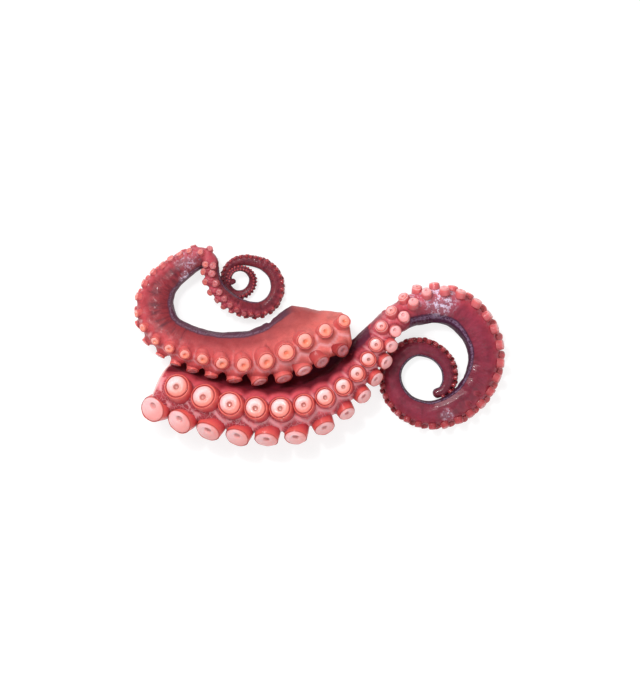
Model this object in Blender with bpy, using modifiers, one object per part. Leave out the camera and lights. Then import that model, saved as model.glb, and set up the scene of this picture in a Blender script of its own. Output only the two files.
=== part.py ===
"""Two cooked octopus arms laid out over each other, one closed solid for each arm.

Each arm is a lofted body that follows a route of hand-set stations, with two rows of
cup-shaped suckers joined to it and a flat underside where it lies on the table.
"""
import math
from collections import namedtuple

import bmesh
import bpy
import numpy as np
from mathutils import Matrix, Vector

MM = 0.001

# One station of an arm: where its middle lies on the table, how far its underside is held
# above the table, its half size along and across the suckers' direction, the angle of that
# direction from straight up towards the left of the arm's run, the distance between two
# suckers of a row, and how far the thin skin web reaches to the left. Millimetres, degrees.
Station = namedtuple("Station", "x y lift deep wide face pitch web")

LOWER_ROUTE = (
    Station(-86.0, -21.4, 0.0, 11.2, 10.2, -24, 14.9, 6.0),
    Station(-77.5, -25.0, 0.0, 12.2, 10.3, -25, 14.8, 10.0),
    Station(-61.0, -30.6, 0.0, 12.9, 10.6, -26, 14.6, 11.6),
    Station(-44.5, -34.2, 0.0, 12.9, 10.6, -27, 13.9, 13.4),
    Station(-28.0, -35.6, 0.0, 12.6, 10.8, -28, 13.2, 15.0),
    Station(-11.5, -33.6, 0.0, 12.1, 11.0, -30, 12.2, 14.4),
    Station(2.0, -27.8, 0.0, 11.6, 10.2, -33, 11.0, 12.4),
    Station(12.4, -20.0, 0.0, 11.0, 9.0, -34, 10.3, 10.4),
    Station(21.5, -9.8, 0.0, 10.5, 8.2, -33, 9.8, 6.4),
    Station(28.3, 0.0, 0.0, 10.2, 7.8, -28, 9.3, 2.2),
    Station(35.3, 9.0, 0.0, 9.9, 7.8, -8, 8.4, 0.0),
    Station(44.1, 15.6, 0.0, 9.6, 7.8, 14, 7.7, 0.0),
    Station(54.0, 19.9, 0.0, 9.3, 7.7, 45, 7.4, 0.0),
    Station(65.5, 21.0, 0.0, 9.0, 7.4, 72, 7.2, 0.0),
    Station(77.5, 16.5, 0.0, 8.8, 7.0, 88, 7.0, 0.0),
    Station(85.5, 7.0, 0.0, 8.5, 6.6, 94, 6.9, 0.0),
    Station(89.5, -5.0, 0.0, 8.2, 6.3, 95, 6.7, 0.0),
    Station(87.0, -18.0, 0.0, 7.8, 6.1, 95, 6.5, 0.0),
    Station(80.0, -28.5, 0.0, 7.3, 5.7, 94, 6.1, 0.0),
    Station(70.0, -35.0, 0.0, 6.8, 5.4, 94, 5.7, 0.0),
    Station(58.5, -37.0, 0.0, 6.2, 5.0, 94, 5.2, 0.0),
    Station(48.0, -33.0, 0.0, 5.6, 4.6, 92, 4.6, 0.0),
    Station(41.5, -25.0, 0.0, 5.2, 4.3, 90, 4.2, 0.0),
    Station(40.0, -15.0, 0.0, 4.8, 4.1, 90, 4.0, 0.0),
    Station(45.0, -6.0, 0.0, 4.5, 3.9, 90, 3.9, 0.0),
    Station(53.5, -2.2, 0.0, 4.1, 3.6, 90, 3.8, 0.0),
    Station(62.5, -4.5, 0.0, 3.8, 3.3, 90, 3.6, 0.0),
    Station(69.0, -11.0, 0.0, 3.5, 3.1, 90, 3.4, 0.0),
    Station(70.5, -19.0, 0.0, 3.2, 2.9, 86, 3.1, 0.0),
    Station(68.0, -24.9, 0.0, 2.9, 2.7, 80, 2.8, 0.0),
    Station(64.2, -26.7, 0.0, 2.6, 2.5, 60, 2.5, 0.0),
)

UPPER_ROUTE = (
    Station(12.7, 6.4, 0.0, 10.6, 9.6, 0, 9.7, -2.6),
    Station(2.5, 4.4, 0.0, 12.0, 11.2, 14, 10.3, -3.5),
    Station(-11.8, 1.4, 0.0, 11.8, 11.4, 29, 11.6, -9.5),
    Station(-26.0, -1.8, 0.0, 11.2, 10.7, 43, 12.4, -3.0),
    Station(-39.0, -3.8, 0.8, 10.4, 9.7, 48, 11.2, -1.2),
    Station(-52.5, -3.6, 1.8, 9.8, 8.8, 49, 9.8, -1.0),
    Station(-65.0, -1.0, 2.2, 9.5, 8.7, 50, 8.5, 0.0),
    Station(-77.0, 3.2, 1.4, 9.4, 8.7, 55, 7.2, 0.0),
    Station(-86.5, 10.5, 0.5, 9.4, 8.5, 68, 6.2, 0.0),
    Station(-90.0, 21.5, 0.0, 9.1, 7.9, 90, 5.6, 0.0),
    Station(-88.0, 29.8, 0.0, 8.0, 7.0, 96, 5.4, 0.0),
    Station(-83.0, 36.3, 0.5, 6.9, 6.3, 96, 5.3, 0.0),
    Station(-76.0, 42.0, 1.5, 6.2, 6.0, 90, 5.1, 0.0),
    Station(-69.0, 46.3, 3.0, 5.6, 5.4, 76, 4.7, 0.0),
    Station(-64.3, 47.8, 4.2, 5.4, 5.0, 46, 4.4, 0.0),
    Station(-61.2, 46.3, 4.8, 5.0, 4.6, 6, 4.6, 0.0),
    Station(-60.0, 42.0, 5.0, 4.5, 4.2, -20, 4.9, 0.0),
    Station(-59.1, 36.9, 5.0, 4.4, 3.9, -22, 5.0, 0.0),
    Station(-56.4, 31.4, 4.6, 4.3, 3.8, -28, 4.7, 0.0),
    Station(-52.0, 26.4, 4.0, 4.1, 3.6, -38, 4.3, 0.0),
    Station(-46.0, 22.6, 3.2, 4.0, 3.4, -54, 3.9, 0.0),
    Station(-39.3, 20.4, 1.4, 3.8, 3.2, -68, 3.6, 0.0),
    Station(-32.2, 20.9, 0.0, 3.5, 3.0, -80, 3.4, 0.0),
    Station(-26.7, 25.3, 0.0, 3.3, 2.8, -88, 3.2, 0.0),
    Station(-24.5, 31.9, 0.0, 3.1, 2.7, -88, 3.1, 0.0),
    Station(-26.1, 38.5, 0.0, 2.9, 2.6, -88, 3.0, 0.0),
    Station(-31.1, 43.5, 0.0, 2.7, 2.5, -88, 2.8, 0.0),
    Station(-37.1, 45.7, 0.0, 2.5, 2.3, -86, 2.6, 0.0),
    Station(-43.7, 46.2, 0.0, 2.4, 2.2, -84, 2.4, 0.0),
    Station(-49.2, 43.5, 0.0, 2.2, 2.1, -80, 2.3, 0.0),
    Station(-52.0, 38.5, 0.0, 2.1, 2.0, -72, 2.2, 0.0),
    Station(-51.4, 32.5, 0.0, 2.1, 2.0, -64, 1.8, 0.0),
    Station(-47.6, 28.6, 0.0, 2.1, 2.0, -60, 1.7, 0.0),
    Station(-42.6, 28.6, 0.0, 2.1, 1.9, -58, 1.7, 0.0),
    Station(-38.8, 31.9, 0.3, 2.0, 1.8, -52, 1.6, 0.0),
    Station(-37.7, 36.9, 1.4, 1.9, 1.7, -40, 1.6, 0.0),
    Station(-40.2, 40.8, 3.2, 1.8, 1.6, -24, 1.5, 0.0),
    Station(-44.2, 42.2, 4.6, 1.7, 1.5, -12, 1.5, 0.0),
    Station(-48.3, 40.8, 5.0, 1.6, 1.4, -10, 1.4, 0.0),
    Station(-50.3, 37.6, 4.9, 1.5, 1.4, -20, 1.4, 0.0),
    Station(-49.4, 34.8, 4.5, 1.5, 1.4, -40, 1.3, 0.0),
    Station(-47.9, 35.4, 4.2, 1.4, 1.3, -50, 1.3, 0.0),
)

# How an arm's suckers stand, each size at the base and towards the tip where it changes:
# the angle of a row from the middle of the face, how far the cups of the left and of the
# right row lean back from there, the cup radius for each millimetre of pitch, the stalk
# length for each millimetre of radius, the first cup of the left and of the right row from
# the base, and the smallest cup radius that is modelled.
ROW_SIZES = (
    "splay splay_tip left_lean right_lean size size_tip stalk stalk_tip first_left first_right least"
)
Rows = namedtuple("Rows", ROW_SIZES)
LOWER_ROWS = Rows(36.0, 20.0, -5.0, 10.0, 0.53, 0.42, 0.85, 1.50, 8.6, 0.4, 1.35)
UPPER_ROWS = Rows(29.0, 26.0, 4.0, 6.0, 0.445, 0.42, 1.18, 0.85, 4.6, 0.7, 0.9)
# Where along an arm the angle and the radius turn from the first value to the second.
ROW_CHANGE = (85.0, 160.0)

# The cups of the thick end lean back towards the base by up to this angle, less and less
# along this length. The last cup stays this far from the tip.
BASE_LEAN = 16.0
BASE_LEAN_RUN = 150.0
TIP_CLEAR = 1.0

# The layout is moved by this much so that the origin lies under the middle of its box.
LAYOUT_SHIFT = (0.42, 0.185)
# How far the round underside would reach below the table before it is cut flat.
FLOOR_SINK = 0.3
FLOOR_BLOCK = (0.4, 0.4, 0.04)

# The body's sections: the steps of the smooth route, the distance between two rings for each
# millimetre of half depth, the sides of a ring, how much further the sucker side stands out
# than the back, and the direction and sharpness of the skin web in the section.
FINE_STEP = 0.2
RING_SPACING = 0.9
BODY_SIDES = {"lower_arm": 12, "upper_arm": 10}
KEEL = {"lower_arm": 1.10, "upper_arm": 1.22}
WEB_ANGLE = {"lower_arm": 140.0, "upper_arm": 100.0}
WEB_SHARPNESS = {"lower_arm": 12, "upper_arm": 3}
# The rounded ends: each ring's scale, and its shift along the run in half depths.
BASE_ROUNDING = ((0.60, -0.26), (0.90, -0.16))
TIP_ROUNDING = ((0.8, 0.55), (0.4, 0.85))

# Cup outlines from the disc outwards and down, as radius and height from the rim in cup radii.
# The last point is the foot, which the stalk length lowers into the arm.
CUP_OUTLINE = ((0.66, -0.14), (0.82, 0.0), (1.0, -0.16), (0.80, -0.70))
CUP_CENTRE = -0.04
SMALL_OUTLINE = ((0.95, 0.0), (0.8, -0.9))
SMALL_CENTRE = 0.0
# Cups of this radius and more get the full outline and more sides.
BIG_CUP = 3.9
BIG_SIDES = 9
SMALL_SIDES = 5
MERGE = 0.0001

LOWER_COLOUR = (0.50, 0.09, 0.08, 1.0)
UPPER_COLOUR = (0.58, 0.13, 0.10, 1.0)
SKIN_ROUGHNESS = 0.35


def middle_height(route):
    """Height of the arm's middle at each row: the underside's lift plus the tilted section's reach."""
    face = np.radians(route[:, 5])
    reach = np.hypot(route[:, 3] * np.cos(face), route[:, 4] * np.sin(face))
    return route[:, 2] - FLOOR_SINK + reach


def smooth_route(stations):
    """The stations joined by a smooth curve.

    Returns fine rows of the distance along the arm and the values there, and each station's
    distance along. Every value is a Hermite curve whose slope at a station is that between
    its two neighbours. The web alone runs straight from station to station.
    """
    points = np.array(stations, dtype=float)
    points[:, :2] += LAYOUT_SHIFT
    chord = np.linalg.norm(np.diff(points[:, :2], axis=0), axis=1)
    knots = np.concatenate(([0.0], np.cumsum(chord)))
    slopes = np.gradient(points, axis=0)
    slopes[1:-1] = (points[2:] - points[:-2]) / (knots[2:] - knots[:-2])[:, None]
    slopes[0] = (points[1] - points[0]) / (knots[1] - knots[0])
    slopes[-1] = (points[-1] - points[-2]) / (knots[-1] - knots[-2])
    at = np.arange(0.0, knots[-1], FINE_STEP)
    left = np.clip(np.searchsorted(knots, at, side="right") - 1, 0, len(knots) - 2)
    span = (knots[left + 1] - knots[left])[:, None]
    t = (at - knots[left])[:, None] / span
    rows = (
        (2 * t**3 - 3 * t**2 + 1) * points[left]
        + (t**3 - 2 * t**2 + t) * span * slopes[left]
        + (3 * t**2 - 2 * t**3) * points[left + 1]
        + (t**3 - t**2) * span * slopes[left + 1]
    )
    rows[:, 7] = np.interp(at, knots, points[:, 7])
    rows[:, 2] = middle_height(rows)
    steps = np.linalg.norm(np.diff(rows[:, :3], axis=0), axis=1)
    along = np.concatenate(([0.0], np.cumsum(steps)))
    return np.column_stack((along, rows)), np.interp(knots, at, along)


Section = namedtuple("Section", "middle run left up face side station")


class Arm:
    """One arm's smooth route with the directions of its sections."""

    def __init__(self, name, stations, rows):
        self.name = name
        self.rows = rows
        self.keel = KEEL[name]
        self.route, self.stops = smooth_route(stations)
        self.length = self.route[-1, 0]
        run = np.gradient(self.route[:, 1:4], axis=0)
        self.runs = run / np.linalg.norm(run, axis=1)[:, None]

    def section(self, along):
        """The section at this distance from the base: its middle, directions and station values."""
        values = [np.interp(along, self.route[:, 0], column) for column in self.route.T[1:]]
        run = Vector(np.interp(along, self.route[:, 0], column) for column in self.runs.T).normalized()
        left = Vector((0.0, 0.0, 1.0)).cross(run).normalized()
        up = run.cross(left)
        angle = math.radians(values[5])
        face = up * math.cos(angle) + left * math.sin(angle)
        side = left * math.cos(angle) - up * math.sin(angle)
        return Section(Vector(values[:3]), run, left, up, face, side, Station(*values))

    def ring(self, along, scale=1.0, shift=0.0):
        """One closed section of the body, smaller and moved along the run where it rounds off an end."""
        at = self.section(along)
        station = at.station
        sides = BODY_SIDES[self.name]
        reach = math.radians(WEB_ANGLE[self.name]) * math.copysign(1.0, station.web)
        points = []
        for index in range(sides):
            turn = math.tau * index / sides
            deep = station.deep * (self.keel if math.cos(turn) > 0.0 else 1.0)
            offset = at.face * (deep * math.cos(turn)) + at.side * (station.wide * math.sin(turn))
            angle = math.atan2(offset.dot(at.left), offset.dot(at.up))
            web = max(0.0, math.cos(angle - reach)) ** WEB_SHARPNESS[self.name]
            offset += at.left * (station.web * web)
            points.append(at.middle + offset * scale + at.run * (shift * station.deep))
        return points

    def body_rings(self):
        """All sections from base to tip, with the rounded ends."""
        places = []
        for near, far in zip(self.stops, self.stops[1:]):
            count = math.ceil((far - near) / (RING_SPACING * self.section(near).station.deep))
            places += [near + (far - near) * index / count for index in range(count)]
        rings = [self.ring(0.0, scale, shift) for scale, shift in BASE_ROUNDING]
        rings += [self.ring(along) for along in places]
        rings += [self.ring(self.length, scale, shift) for scale, shift in ((1.0, 0.0), *TIP_ROUNDING)]
        return rings

    def radius(self, along):
        """The radius of a sucker at this distance from the base."""
        size = np.interp(along, ROW_CHANGE, (self.rows.size, self.rows.size_tip))
        return size * self.section(along).station.pitch

    def cup(self, along, sign):
        """The sucker at this distance in the left (1) or right (-1) row: rim, axis, run, radius and stalk."""
        at = self.section(along)
        station = at.station
        radius = self.radius(along)
        share = along / self.length
        stalk = radius * (self.rows.stalk * (1.0 - share) + self.rows.stalk_tip * share)
        stand = math.radians(np.interp(along, ROW_CHANGE, (self.rows.splay, self.rows.splay_tip)))
        foot = at.face * (station.deep * self.keel * math.cos(stand))
        foot += at.side * (sign * station.wide * math.sin(stand))
        outward = at.face * math.cos(stand) + at.side * (sign * math.sin(stand))
        leaned = stand - math.radians(self.rows.left_lean if sign > 0.0 else self.rows.right_lean)
        back = math.radians(BASE_LEAN * max(0.0, 1.0 - along / BASE_LEAN_RUN))
        axis = at.face * math.cos(leaned) + at.side * (sign * math.sin(leaned))
        axis = (axis - at.run * math.tan(back)).normalized()
        return at.middle + foot + outward * stalk, axis, at.run, radius, stalk

    def cups(self):
        """Every sucker that is large enough to model: two rows that run side by side."""
        found = []
        for sign, first in ((1.0, self.rows.first_left), (-1.0, self.rows.first_right)):
            along = first
            while along < self.length - TIP_CLEAR:
                if self.radius(along) >= self.rows.least:
                    found.append(self.cup(along, sign))
                along += self.section(along).station.pitch
        return found


def new_object(name, mesh, collection):
    """A linked object for a finished mesh."""
    made = bpy.data.objects.new(name, mesh)
    collection.objects.link(made)
    return made


def new_collection(name):
    """An empty collection in the scene."""
    made = bpy.data.collections.new(name)
    bpy.context.scene.collection.children.link(made)
    return made


def body_mesh(arm):
    """The arm's body: rings of unlike sections joined face by face, with both ends closed."""
    shape = bmesh.new()
    rings = [[shape.verts.new(point * MM) for point in ring] for ring in arm.body_rings()]
    for near, far in zip(rings, rings[1:]):
        for index in range(len(near)):
            following = (index + 1) % len(near)
            shape.faces.new((near[index], near[following], far[following], far[index]))
    shape.faces.new(reversed(rings[0]))
    shape.faces.new(rings[-1])
    bmesh.ops.recalc_face_normals(shape, faces=shape.faces)
    mesh = bpy.data.meshes.new(arm.name)
    shape.to_mesh(mesh)
    shape.free()
    return mesh


def cup_outline(outline, centre, stalk):
    """A sucker's outline for a cup of radius one, from the middle of its disc down to the end of its foot."""
    *cup, foot = outline
    sunk = foot[1] - stalk
    profile = [(0.0, centre), *cup, (foot[0], sunk), (0.0, sunk)]
    mesh = bpy.data.meshes.new("cup")
    edges = [(index, index + 1) for index in range(len(profile) - 1)]
    mesh.from_pydata([(radius, 0.0, height) for radius, height in profile], edges, [])
    return mesh


def turn_round(target, sides):
    """Turns an outline about its own Z axis into a closed shape."""
    screw = target.modifiers.new("turn", "SCREW")
    screw.axis = "Z"
    screw.steps = sides
    screw.render_steps = sides
    screw.use_merge_vertices = True
    screw.merge_threshold = MERGE


def cup_placement(rim, axis, run, radius):
    """The matrix that stands a unit sucker on its axis, with one corner along the arm."""
    across = axis.cross(run).normalized()
    ahead = across.cross(axis)
    turn = Matrix((ahead, across, axis)).transposed().to_4x4()
    return Matrix.Translation(rim * MM) @ turn @ Matrix.Scale(radius * MM, 4)


def apply_boolean(target, operation, collection=None, cutter=None):
    """One exact Boolean with a collection or a single cutter, applied at once."""
    boolean = target.modifiers.new("join", "BOOLEAN")
    boolean.operation = operation
    boolean.solver = "EXACT"
    if collection is not None:
        boolean.operand_type = "COLLECTION"
        boolean.collection = collection
    else:
        boolean.object = cutter
    with bpy.context.temp_override(object=target, active_object=target, selected_objects=[target]):
        bpy.ops.object.modifier_apply(modifier=boolean.name)


def remove_collection(collection):
    """Removes a collection of helpers with its objects."""
    for helper in list(collection.objects):
        bpy.data.objects.remove(helper, do_unlink=True)
    bpy.data.collections.remove(collection)


def skin_material(name, colour):
    """Wet boiled skin."""
    material = bpy.data.materials.new(name)
    material.use_nodes = True
    shader = material.node_tree.nodes["Principled BSDF"]
    shader.inputs["Base Color"].default_value = colour
    shader.inputs["Roughness"].default_value = SKIN_ROUGHNESS
    return material


def floor_block(collection):
    """A block that ends at the table's surface and covers the whole layout below it."""
    shape = bmesh.new()
    bmesh.ops.create_cube(shape, size=1.0, matrix=Matrix.Diagonal((*FLOOR_BLOCK, 1.0)))
    bmesh.ops.translate(shape, verts=shape.verts, vec=(0.0, 0.0, -FLOOR_BLOCK[2] / 2))
    mesh = bpy.data.meshes.new("floor_block")
    shape.to_mesh(mesh)
    shape.free()
    block = new_object("floor_block", mesh, collection)
    block.hide_render = True
    block.display_type = "WIRE"
    return block


def build_arm(arm, colour, home):
    """One finished arm: the body, its suckers joined on, and the underside cut flat."""
    target = new_object(arm.name, body_mesh(arm), home)
    cups = new_collection(f"{arm.name}_cups")
    for index, (rim, axis, run, radius, stalk) in enumerate(arm.cups()):
        big = radius >= BIG_CUP
        outline = CUP_OUTLINE if big else SMALL_OUTLINE
        centre = CUP_CENTRE if big else SMALL_CENTRE
        cup = new_object(f"{arm.name}_cup_{index}", cup_outline(outline, centre, stalk / radius), cups)
        turn_round(cup, BIG_SIDES if big else SMALL_SIDES)
        cup.matrix_world = cup_placement(rim, axis, run, radius)
    bpy.context.view_layer.update()
    apply_boolean(target, "UNION", collection=cups)
    remove_collection(cups)
    cutters = new_collection("cutters")
    apply_boolean(target, "DIFFERENCE", cutter=floor_block(cutters))
    remove_collection(cutters)
    target.data.materials.clear()
    target.data.materials.append(skin_material(f"{arm.name}_skin", colour))
    return target


def main():
    for leftover in list(bpy.data.objects):
        bpy.data.objects.remove(leftover, do_unlink=True)
    home = new_collection("cooked_octopus")
    build_arm(Arm("lower_arm", LOWER_ROUTE, LOWER_ROWS), LOWER_COLOUR, home)
    build_arm(Arm("upper_arm", UPPER_ROUTE, UPPER_ROWS), UPPER_COLOUR, home)


main()
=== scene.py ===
"""Two boiled octopus arms laid over each other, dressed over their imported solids.

Each arm is a skin surface that follows the arm's route, with folds, wrinkles and swollen
feet round its suckers, and a joined mesh of suckers in two rows. Lengths are millimetres
until a mesh is written, which is in metres. Angles are degrees in the tables and radians
in the formulas.
"""
import logging
import math
from dataclasses import astuple, dataclass
from enum import Enum
from functools import reduce

import bpy
import numpy as np
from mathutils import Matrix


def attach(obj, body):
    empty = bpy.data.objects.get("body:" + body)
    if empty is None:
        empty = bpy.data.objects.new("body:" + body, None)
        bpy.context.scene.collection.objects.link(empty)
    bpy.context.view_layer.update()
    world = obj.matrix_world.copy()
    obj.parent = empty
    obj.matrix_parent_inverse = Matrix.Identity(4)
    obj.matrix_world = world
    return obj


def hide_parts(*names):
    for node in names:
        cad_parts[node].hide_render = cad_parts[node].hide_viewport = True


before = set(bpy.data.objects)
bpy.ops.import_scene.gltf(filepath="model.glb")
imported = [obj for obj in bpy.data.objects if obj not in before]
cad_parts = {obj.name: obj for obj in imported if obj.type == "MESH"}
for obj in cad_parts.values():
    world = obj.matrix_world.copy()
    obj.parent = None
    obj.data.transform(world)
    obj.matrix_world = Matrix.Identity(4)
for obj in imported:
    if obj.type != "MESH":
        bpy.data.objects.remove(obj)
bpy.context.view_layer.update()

LOG = logging.getLogger("cooked_octopus")
MM = 0.001
# The step along a route, where the layout stands, and how far the flat side lies under the table top
FINE_STEP = 0.2
LAYOUT_SHIFT = (0.42, 0.185)
FLOOR_SINK = 0.3
# A distance in cup radii that stands for no cup near
NO_CUP = 9.0
# The way towards the light from the upper left, which a disc's painted highlight faces
LIT_FROM = (-0.6, 0.8, 0.0)
# A colour as seen, and stops of a number with the colour seen there
Tint = tuple[int, int, int]
Stops = tuple[tuple[float, int, int, int], ...]


class ArmName(Enum):
    """The two arms, by the name of the solid that each one dresses."""

    LOWER = "lower_arm"
    UPPER = "upper_arm"


@dataclass(frozen=True)
class Station:
    """One given section of an arm, in millimetres and degrees.

    x and y place its middle, lift holds its underside above the table, deep and wide are its
    half sizes along and across the suckers' direction, face turns that direction from
    straight up to the left of the run, pitch is the distance between two suckers of a row,
    and web is how far the thin flap of skin reaches to the left.
    """

    x: float
    y: float
    lift: float
    deep: float
    wide: float
    face: float
    pitch: float
    web: float = 0.0


LOWER_ROUTE = tuple(Station(*row) for row in (
    (-86.0, -21.4, 0.0, 11.2, 10.2, -24, 14.9, 6.0),
    (-77.5, -25.0, 0.0, 12.2, 10.3, -25, 14.8, 10.0),
    (-61.0, -30.6, 0.0, 12.9, 10.6, -26, 14.6, 11.6),
    (-44.5, -34.2, 0.0, 12.9, 10.6, -27, 13.9, 13.4),
    (-28.0, -35.6, 0.0, 12.6, 10.8, -28, 13.2, 15.0),
    (-11.5, -33.6, 0.0, 12.1, 11.0, -30, 12.2, 14.4),
    (2.0, -27.8, 0.0, 11.6, 10.2, -33, 11.0, 12.4),
    (12.4, -20.0, 0.0, 11.0, 9.0, -34, 10.3, 10.4),
    (21.5, -9.8, 0.0, 10.5, 8.2, -33, 9.8, 6.4),
    (28.3, 0.0, 0.0, 10.2, 7.8, -28, 9.3, 2.2),
    (35.3, 9.0, 0.0, 9.9, 7.8, -8, 8.4),
    (44.1, 15.6, 0.0, 9.6, 7.8, 14, 7.7),
    (54.0, 19.9, 0.0, 9.3, 7.7, 45, 7.4),
    (65.5, 21.0, 0.0, 9.0, 7.4, 72, 7.2),
    (77.5, 16.5, 0.0, 8.8, 7.0, 88, 7.0),
    (85.5, 7.0, 0.0, 8.5, 6.6, 94, 6.9),
    (89.5, -5.0, 0.0, 8.2, 6.3, 95, 6.7),
    (87.0, -18.0, 0.0, 7.8, 6.1, 95, 6.5),
    (80.0, -28.5, 0.0, 7.3, 5.7, 94, 6.1),
    (70.0, -35.0, 0.0, 6.8, 5.4, 94, 5.7),
    (58.5, -37.0, 0.0, 6.2, 5.0, 94, 5.2),
    (48.0, -33.0, 0.0, 5.6, 4.6, 92, 4.6),
    (41.5, -25.0, 0.0, 5.2, 4.3, 90, 4.2),
    (40.0, -15.0, 0.0, 4.8, 4.1, 90, 4.0),
    (45.0, -6.0, 0.0, 4.5, 3.9, 90, 3.9),
    (53.5, -2.2, 0.0, 4.1, 3.6, 90, 3.8),
    (62.5, -4.5, 0.0, 3.8, 3.3, 90, 3.6),
    (69.0, -11.0, 0.0, 3.5, 3.1, 90, 3.4),
    (70.5, -19.0, 0.0, 3.2, 2.9, 86, 3.1),
    (68.0, -24.9, 0.0, 2.9, 2.7, 80, 2.8),
    (64.2, -26.7, 0.0, 2.6, 2.5, 60, 2.5),
))

UPPER_ROUTE = tuple(Station(*row) for row in (
    (12.7, 6.4, 0.0, 10.6, 9.6, 0, 9.7, -2.6),
    (2.5, 4.4, 0.0, 12.0, 11.2, 14, 10.3, -3.5),
    (-11.8, 1.4, 0.0, 11.8, 11.4, 29, 11.6, -9.5),
    (-26.0, -1.8, 0.0, 11.2, 10.7, 43, 12.4, -3.0),
    (-39.0, -3.8, 0.8, 10.4, 9.7, 48, 11.2, -1.2),
    (-52.5, -3.6, 1.8, 9.8, 8.8, 49, 9.8, -1.0),
    (-65.0, -1.0, 2.2, 9.5, 8.7, 50, 8.5),
    (-77.0, 3.2, 1.4, 9.4, 8.7, 55, 7.2),
    (-86.5, 10.5, 0.5, 9.4, 8.5, 68, 6.2),
    (-90.0, 21.5, 0.0, 9.1, 7.9, 90, 5.6),
    (-88.0, 29.8, 0.0, 8.0, 7.0, 96, 5.4),
    (-83.0, 36.3, 0.5, 6.9, 6.3, 96, 5.3),
    (-76.0, 42.0, 1.5, 6.2, 6.0, 90, 5.1),
    (-69.0, 46.3, 3.0, 5.6, 5.4, 76, 4.7),
    (-64.3, 47.8, 4.2, 5.4, 5.0, 46, 4.4),
    (-61.2, 46.3, 4.8, 5.0, 4.6, 6, 4.6),
    (-60.0, 42.0, 5.0, 4.5, 4.2, -20, 4.9),
    (-59.1, 36.9, 5.0, 4.4, 3.9, -22, 5.0),
    (-56.4, 31.4, 4.6, 4.3, 3.8, -28, 4.7),
    (-52.0, 26.4, 4.0, 4.1, 3.6, -38, 4.3),
    (-46.0, 22.6, 3.2, 4.0, 3.4, -54, 3.9),
    (-39.3, 20.4, 1.4, 3.8, 3.2, -68, 3.6),
    (-32.2, 20.9, 0.0, 3.5, 3.0, -80, 3.4),
    (-26.7, 25.3, 0.0, 3.3, 2.8, -88, 3.2),
    (-24.5, 31.9, 0.0, 3.1, 2.7, -88, 3.1),
    (-26.1, 38.5, 0.0, 2.9, 2.6, -88, 3.0),
    (-31.1, 43.5, 0.0, 2.7, 2.5, -88, 2.8),
    (-37.1, 45.7, 0.0, 2.5, 2.3, -86, 2.6),
    (-43.7, 46.2, 0.0, 2.4, 2.2, -84, 2.4),
    (-49.2, 43.5, 0.0, 2.2, 2.1, -80, 2.3),
    (-52.0, 38.5, 0.0, 2.1, 2.0, -72, 2.2),
    (-51.4, 32.5, 0.0, 2.1, 2.0, -64, 1.8),
    (-47.6, 28.6, 0.0, 2.1, 2.0, -60, 1.7),
    (-42.6, 28.6, 0.0, 2.1, 1.9, -58, 1.7),
    (-38.8, 31.9, 0.3, 2.0, 1.8, -52, 1.6),
    (-37.7, 36.9, 1.4, 1.9, 1.7, -40, 1.6),
    (-40.2, 40.8, 3.2, 1.8, 1.6, -24, 1.5),
    (-44.2, 42.2, 4.6, 1.7, 1.5, -12, 1.5),
    (-48.3, 40.8, 5.0, 1.6, 1.4, -10, 1.4),
    (-50.3, 37.6, 4.9, 1.5, 1.4, -20, 1.4),
    (-49.4, 34.8, 4.5, 1.5, 1.4, -40, 1.3),
    (-47.9, 35.4, 4.2, 1.4, 1.3, -50, 1.3),
))


def hermite(knots: np.ndarray, values: np.ndarray, at: np.ndarray) -> np.ndarray:
    """A smooth curve through rows of values, read at any places.

    Between two knots it is the cubic that meets both values, with a slope at each knot equal
    to the slope between that knot's two neighbours.

    Args:
        knots: growing places of the rows, shape (n,).
        values: the rows, shape (n, k).
        at: where to read, shape (m,).

    Returns:
        The values there, shape (m, k).
    """
    slopes = np.empty_like(values)
    slopes[1:-1] = (values[2:] - values[:-2]) / (knots[2:] - knots[:-2])[:, None]
    slopes[0] = (values[1] - values[0]) / (knots[1] - knots[0])
    slopes[-1] = (values[-1] - values[-2]) / (knots[-1] - knots[-2])
    left = np.clip(np.searchsorted(knots, at, side="right") - 1, 0, len(knots) - 2)
    span = (knots[left + 1] - knots[left])[:, None]
    t = (at - knots[left])[:, None] / span
    near = (2 * t**3 - 3 * t**2 + 1) * values[left] + (t**3 - 2 * t**2 + t) * span * slopes[left]
    far = (3 * t**2 - 2 * t**3) * values[left + 1] + (t**3 - t**2) * span * slopes[left + 1]
    return near + far


def unit(vectors: np.ndarray) -> np.ndarray:
    """The vectors of the last axis at length one."""
    return vectors / np.maximum(np.linalg.norm(vectors, axis=-1, keepdims=True), 1e-9)


def ease(low: float, high: float, values: np.ndarray) -> np.ndarray:
    """Zero below low, one above high, and the smooth step 3t^2 - 2t^3 between them."""
    t = np.clip((values - low) / (high - low), 0.0, 1.0)
    return t * t * (3.0 - 2.0 * t)


def bell(values: np.ndarray, middle: float, width: float) -> np.ndarray:
    """One at the middle, falling off on both sides as exp(-u^2), where u counts widths."""
    return np.exp(-(((values - middle) / width) ** 2))


def ripple(points: np.ndarray, wavelength: float, seed: int, waves: int = 14) -> np.ndarray:
    """An uneven swell from -1 to 1: the mean of sine waves in seeded random directions.

    Args:
        points: places in millimetres, shape (..., 3).
        wavelength: about the distance between two crests in millimetres.
        seed: seed of the waves' directions, lengths and phases.
        waves: how many sine waves are added.

    Returns:
        The swell at each place, shape (...).
    """
    rng = np.random.default_rng(seed)
    directions = unit(rng.normal(size=(waves, 3)))
    lengths = wavelength * rng.uniform(0.7, 1.5, waves)
    phases = rng.uniform(0.0, math.tau, waves)
    total = np.zeros(points.shape[:-1])
    for direction, length, phase in zip(directions, lengths, phases):
        total += np.sin(points @ direction * (math.tau / length) + phase)
    return total / math.sqrt(waves)


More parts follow.
